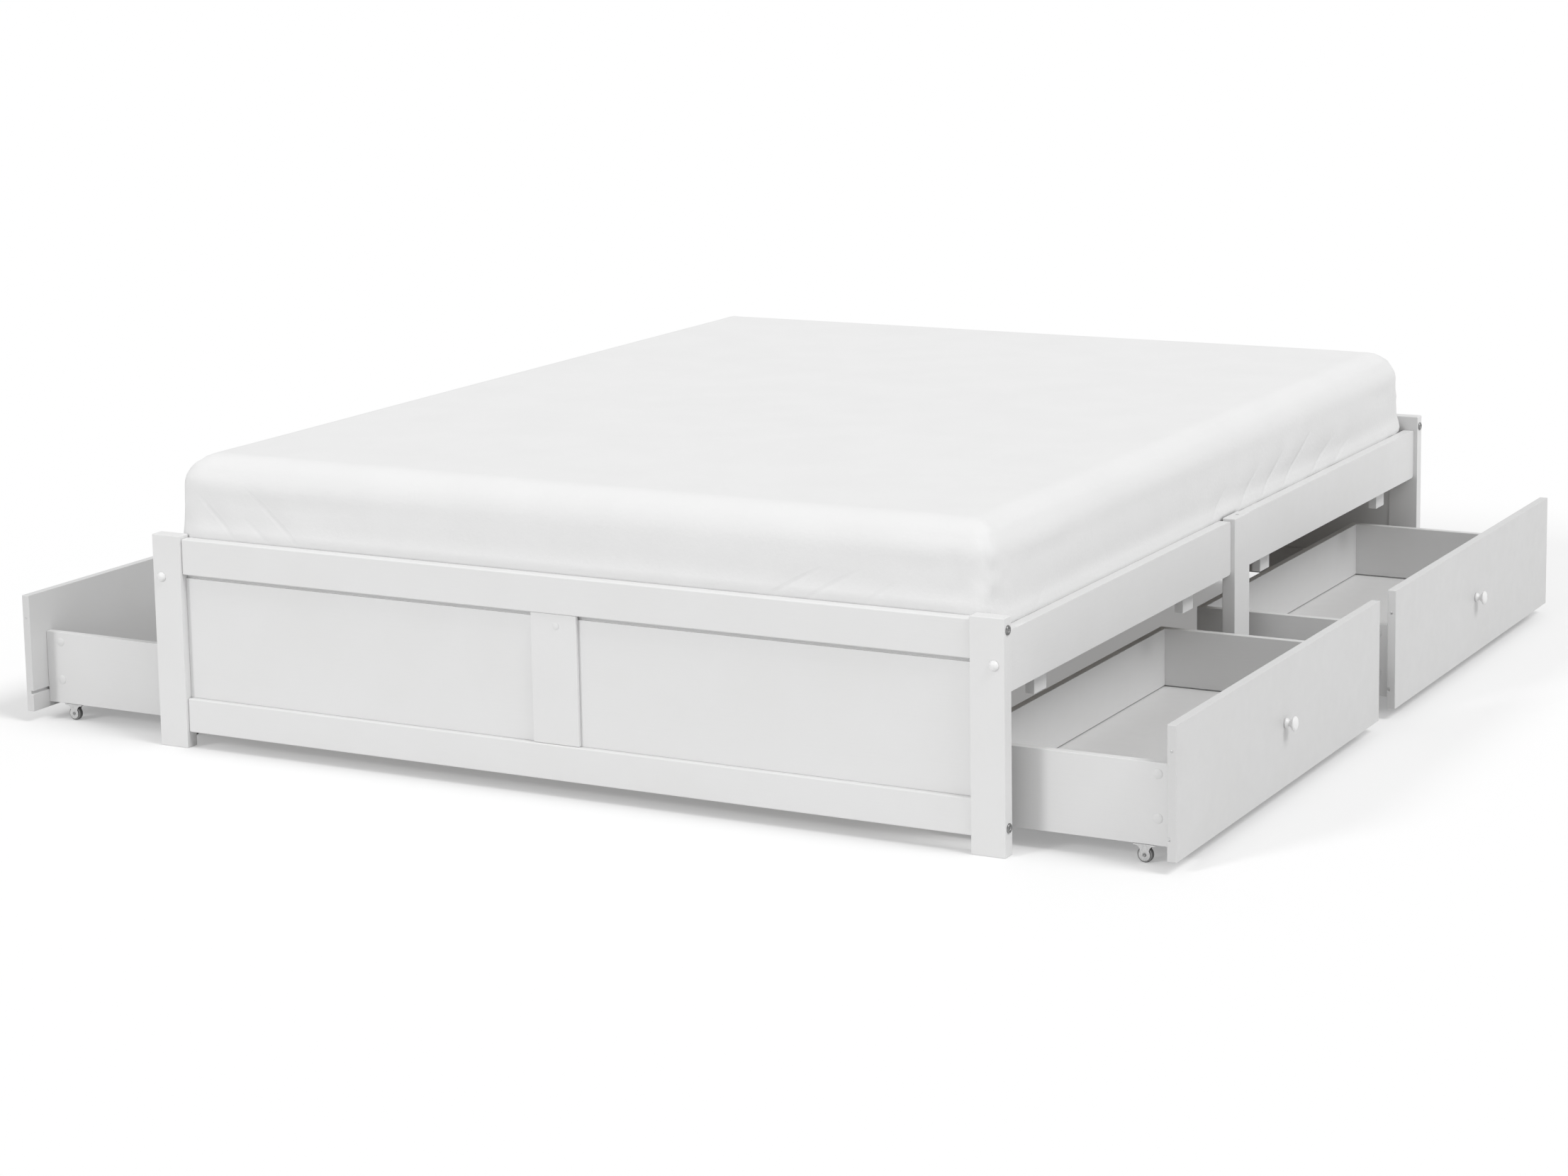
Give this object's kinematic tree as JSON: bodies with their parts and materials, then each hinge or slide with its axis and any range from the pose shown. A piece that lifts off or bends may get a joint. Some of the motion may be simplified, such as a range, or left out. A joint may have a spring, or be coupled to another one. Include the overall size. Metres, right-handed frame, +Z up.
{
  "type": "platform bed with storage drawers",
  "caption": "Low white platform bed with storage drawers on castors along both sides, a slatted base, a mattress and a fitted sheet.",
  "frame": {"origin": "on the floor at the centre of the bed frame, under the centre leg", "axes": "+X across the bed to the right seen from its foot end, +Y along the bed from the foot end to the head end, +Z up"},
  "size_m": [2.322, 2.07, 0.53],
  "materials": {
    "white_paint": "satin white paint on solid wood",
    "white_board": "satin white lacquered board",
    "pine": "bare planed pine",
    "mattress_ticking": "woven ticking",
    "white_cotton": "matt woven cotton",
    "wheel_grey": "smooth moulded",
    "steel": "zinc-plated castor forks and bolts",
    "cap_white": "moulded white cover caps"
  },
  "bodies": {
    "bed_frame": {"foot_left_post": "white_paint", "foot_right_post": "white_paint", "head_left_post": "white_paint", "head_right_post": "white_paint", "foot_top_rail": "white_paint", "foot_bottom_rail": "white_paint", "foot_panel": "white_board", "foot_batten": "white_paint", "head_top_rail": "white_paint", "head_bottom_rail": "white_paint", "head_panel": "white_board", "head_batten": "white_paint", "foot_left_side_rail": "white_paint", "head_left_side_rail": "white_paint", "left_middle_leg": "white_paint", "foot_right_side_rail": "white_paint", "head_right_side_rail": "white_paint", "right_middle_leg": "white_paint", "foot_left_slat_bearer": "white_paint", "foot_right_slat_bearer": "white_paint", "head_left_slat_bearer": "white_paint", "head_right_slat_bearer": "white_paint", "centre_beam": "white_paint", "centre_leg": "white_paint", "left_slat_roll": "pine", "right_slat_roll": "pine", "mattress": "mattress_ticking", "fitted_sheet": "white_cotton"},
    "foot_left_drawer": {"foot_left_drawer_front": "white_board", "foot_left_drawer_box": "white_board", "foot_left_drawer_bottom": "white_board", "foot_left_drawer_knob": "white_paint"},
    "foot_left_drawer_wheel_1": {"foot_left_drawer_wheel_1": "wheel_grey"},
    "foot_left_drawer_wheel_2": {"foot_left_drawer_wheel_2": "wheel_grey"},
    "foot_left_drawer_wheel_3": {"foot_left_drawer_wheel_3": "wheel_grey"},
    "foot_left_drawer_wheel_4": {"foot_left_drawer_wheel_4": "wheel_grey"},
    "foot_right_drawer": {"foot_right_drawer_front": "white_board", "foot_right_drawer_box": "white_board", "foot_right_drawer_bottom": "white_board", "foot_right_drawer_knob": "white_paint"},
    "foot_right_drawer_wheel_1": {"foot_right_drawer_wheel_1": "wheel_grey"},
    "foot_right_drawer_wheel_2": {"foot_right_drawer_wheel_2": "wheel_grey"},
    "foot_right_drawer_wheel_3": {"foot_right_drawer_wheel_3": "wheel_grey"},
    "foot_right_drawer_wheel_4": {"foot_right_drawer_wheel_4": "wheel_grey"},
    "head_left_drawer": {"head_left_drawer_front": "white_board", "head_left_drawer_box": "white_board", "head_left_drawer_bottom": "white_board", "head_left_drawer_knob": "white_paint"},
    "head_left_drawer_wheel_1": {"head_left_drawer_wheel_1": "wheel_grey"},
    "head_left_drawer_wheel_2": {"head_left_drawer_wheel_2": "wheel_grey"},
    "head_left_drawer_wheel_3": {"head_left_drawer_wheel_3": "wheel_grey"},
    "head_left_drawer_wheel_4": {"head_left_drawer_wheel_4": "wheel_grey"},
    "head_right_drawer": {"head_right_drawer_front": "white_board", "head_right_drawer_box": "white_board", "head_right_drawer_bottom": "white_board", "head_right_drawer_knob": "white_paint"},
    "head_right_drawer_wheel_1": {"head_right_drawer_wheel_1": "wheel_grey"},
    "head_right_drawer_wheel_2": {"head_right_drawer_wheel_2": "wheel_grey"},
    "head_right_drawer_wheel_3": {"head_right_drawer_wheel_3": "wheel_grey"},
    "head_right_drawer_wheel_4": {"head_right_drawer_wheel_4": "wheel_grey"}
  },
  "joints": [
    {"name": "foot_left_drawer_slide", "type": "slide", "parent": "bed_frame", "child": "foot_left_drawer", "axis": [-1, 0, 0], "range_m": [-0.341, 0.1]},
    {"name": "foot_left_drawer_wheel_1_spin", "type": "hinge", "parent": "foot_left_drawer", "child": "foot_left_drawer_wheel_1", "pos_m": [-1.096, -0.0955, 0.013], "axis": [0, -1, 0], "range_deg": [-1600, 800]},
    {"name": "foot_left_drawer_wheel_2_spin", "type": "hinge", "parent": "foot_left_drawer", "child": "foot_left_drawer_wheel_2", "pos_m": [-1.096, -0.9555, 0.013], "axis": [0, -1, 0], "range_deg": [-1600, 800]},
    {"name": "foot_left_drawer_wheel_3_spin", "type": "hinge", "parent": "foot_left_drawer", "child": "foot_left_drawer_wheel_3", "pos_m": [-0.824, -0.0955, 0.013], "axis": [0, -1, 0], "range_deg": [-1600, 800]},
    {"name": "foot_left_drawer_wheel_4_spin", "type": "hinge", "parent": "foot_left_drawer", "child": "foot_left_drawer_wheel_4", "pos_m": [-0.824, -0.9555, 0.013], "axis": [0, -1, 0], "range_deg": [-1600, 800]},
    {"name": "foot_right_drawer_slide", "type": "slide", "parent": "bed_frame", "child": "foot_right_drawer", "axis": [1, 0, 0], "range_m": [-0.285, 0.15]},
    {"name": "foot_right_drawer_wheel_1_spin", "type": "hinge", "parent": "foot_right_drawer", "child": "foot_right_drawer_wheel_1", "pos_m": [1.04, -0.9555, 0.013], "axis": [0, 1, 0], "range_deg": [-1600, 800]},
    {"name": "foot_right_drawer_wheel_2_spin", "type": "hinge", "parent": "foot_right_drawer", "child": "foot_right_drawer_wheel_2", "pos_m": [1.04, -0.0955, 0.013], "axis": [0, 1, 0], "range_deg": [-1600, 800]},
    {"name": "foot_right_drawer_wheel_3_spin", "type": "hinge", "parent": "foot_right_drawer", "child": "foot_right_drawer_wheel_3", "pos_m": [0.768, -0.9555, 0.013], "axis": [0, 1, 0], "range_deg": [-1600, 800]},
    {"name": "foot_right_drawer_wheel_4_spin", "type": "hinge", "parent": "foot_right_drawer", "child": "foot_right_drawer_wheel_4", "pos_m": [0.768, -0.0955, 0.013], "axis": [0, 1, 0], "range_deg": [-1600, 800]},
    {"name": "head_left_drawer_slide", "type": "slide", "parent": "bed_frame", "child": "head_left_drawer", "axis": [-1, 0, 0], "range_m": [-0.341, 0.1]},
    {"name": "head_left_drawer_wheel_1_spin", "type": "hinge", "parent": "head_left_drawer", "child": "head_left_drawer_wheel_1", "pos_m": [-1.096, 0.9555, 0.013], "axis": [0, -1, 0], "range_deg": [-1600, 800]},
    {"name": "head_left_drawer_wheel_2_spin", "type": "hinge", "parent": "head_left_drawer", "child": "head_left_drawer_wheel_2", "pos_m": [-1.096, 0.0955, 0.013], "axis": [0, -1, 0], "range_deg": [-1600, 800]},
    {"name": "head_left_drawer_wheel_3_spin", "type": "hinge", "parent": "head_left_drawer", "child": "head_left_drawer_wheel_3", "pos_m": [-0.824, 0.9555, 0.013], "axis": [0, -1, 0], "range_deg": [-1600, 800]},
    {"name": "head_left_drawer_wheel_4_spin", "type": "hinge", "parent": "head_left_drawer", "child": "head_left_drawer_wheel_4", "pos_m": [-0.824, 0.0955, 0.013], "axis": [0, -1, 0], "range_deg": [-1600, 800]},
    {"name": "head_right_drawer_slide", "type": "slide", "parent": "bed_frame", "child": "head_right_drawer", "axis": [1, 0, 0], "range_m": [-0.285, 0.15]},
    {"name": "head_right_drawer_wheel_1_spin", "type": "hinge", "parent": "head_right_drawer", "child": "head_right_drawer_wheel_1", "pos_m": [1.04, 0.0955, 0.013], "axis": [0, 1, 0], "range_deg": [-1600, 800]},
    {"name": "head_right_drawer_wheel_2_spin", "type": "hinge", "parent": "head_right_drawer", "child": "head_right_drawer_wheel_2", "pos_m": [1.04, 0.9555, 0.013], "axis": [0, 1, 0], "range_deg": [-1600, 800]},
    {"name": "head_right_drawer_wheel_3_spin", "type": "hinge", "parent": "head_right_drawer", "child": "head_right_drawer_wheel_3", "pos_m": [0.768, 0.0955, 0.013], "axis": [0, 1, 0], "range_deg": [-1600, 800]},
    {"name": "head_right_drawer_wheel_4_spin", "type": "hinge", "parent": "head_right_drawer", "child": "head_right_drawer_wheel_4", "pos_m": [0.768, 0.9555, 0.013], "axis": [0, 1, 0], "range_deg": [-1600, 800]}
  ],
  "couplings": [
    {"joint": "foot_left_drawer_wheel_1_spin", "follows": "foot_left_drawer_slide", "rad_per_m": 76.923},
    {"joint": "foot_left_drawer_wheel_2_spin", "follows": "foot_left_drawer_slide", "rad_per_m": 76.923},
    {"joint": "foot_left_drawer_wheel_3_spin", "follows": "foot_left_drawer_slide", "rad_per_m": 76.923},
    {"joint": "foot_left_drawer_wheel_4_spin", "follows": "foot_left_drawer_slide", "rad_per_m": 76.923},
    {"joint": "foot_right_drawer_wheel_1_spin", "follows": "foot_right_drawer_slide", "rad_per_m": 76.923},
    {"joint": "foot_right_drawer_wheel_2_spin", "follows": "foot_right_drawer_slide", "rad_per_m": 76.923},
    {"joint": "foot_right_drawer_wheel_3_spin", "follows": "foot_right_drawer_slide", "rad_per_m": 76.923},
    {"joint": "foot_right_drawer_wheel_4_spin", "follows": "foot_right_drawer_slide", "rad_per_m": 76.923},
    {"joint": "head_left_drawer_wheel_1_spin", "follows": "head_left_drawer_slide", "rad_per_m": 76.923},
    {"joint": "head_left_drawer_wheel_2_spin", "follows": "head_left_drawer_slide", "rad_per_m": 76.923},
    {"joint": "head_left_drawer_wheel_3_spin", "follows": "head_left_drawer_slide", "rad_per_m": 76.923},
    {"joint": "head_left_drawer_wheel_4_spin", "follows": "head_left_drawer_slide", "rad_per_m": 76.923},
    {"joint": "head_right_drawer_wheel_1_spin", "follows": "head_right_drawer_slide", "rad_per_m": 76.923},
    {"joint": "head_right_drawer_wheel_2_spin", "follows": "head_right_drawer_slide", "rad_per_m": 76.923},
    {"joint": "head_right_drawer_wheel_3_spin", "follows": "head_right_drawer_slide", "rad_per_m": 76.923},
    {"joint": "head_right_drawer_wheel_4_spin", "follows": "head_right_drawer_slide", "rad_per_m": 76.923}
  ]
}
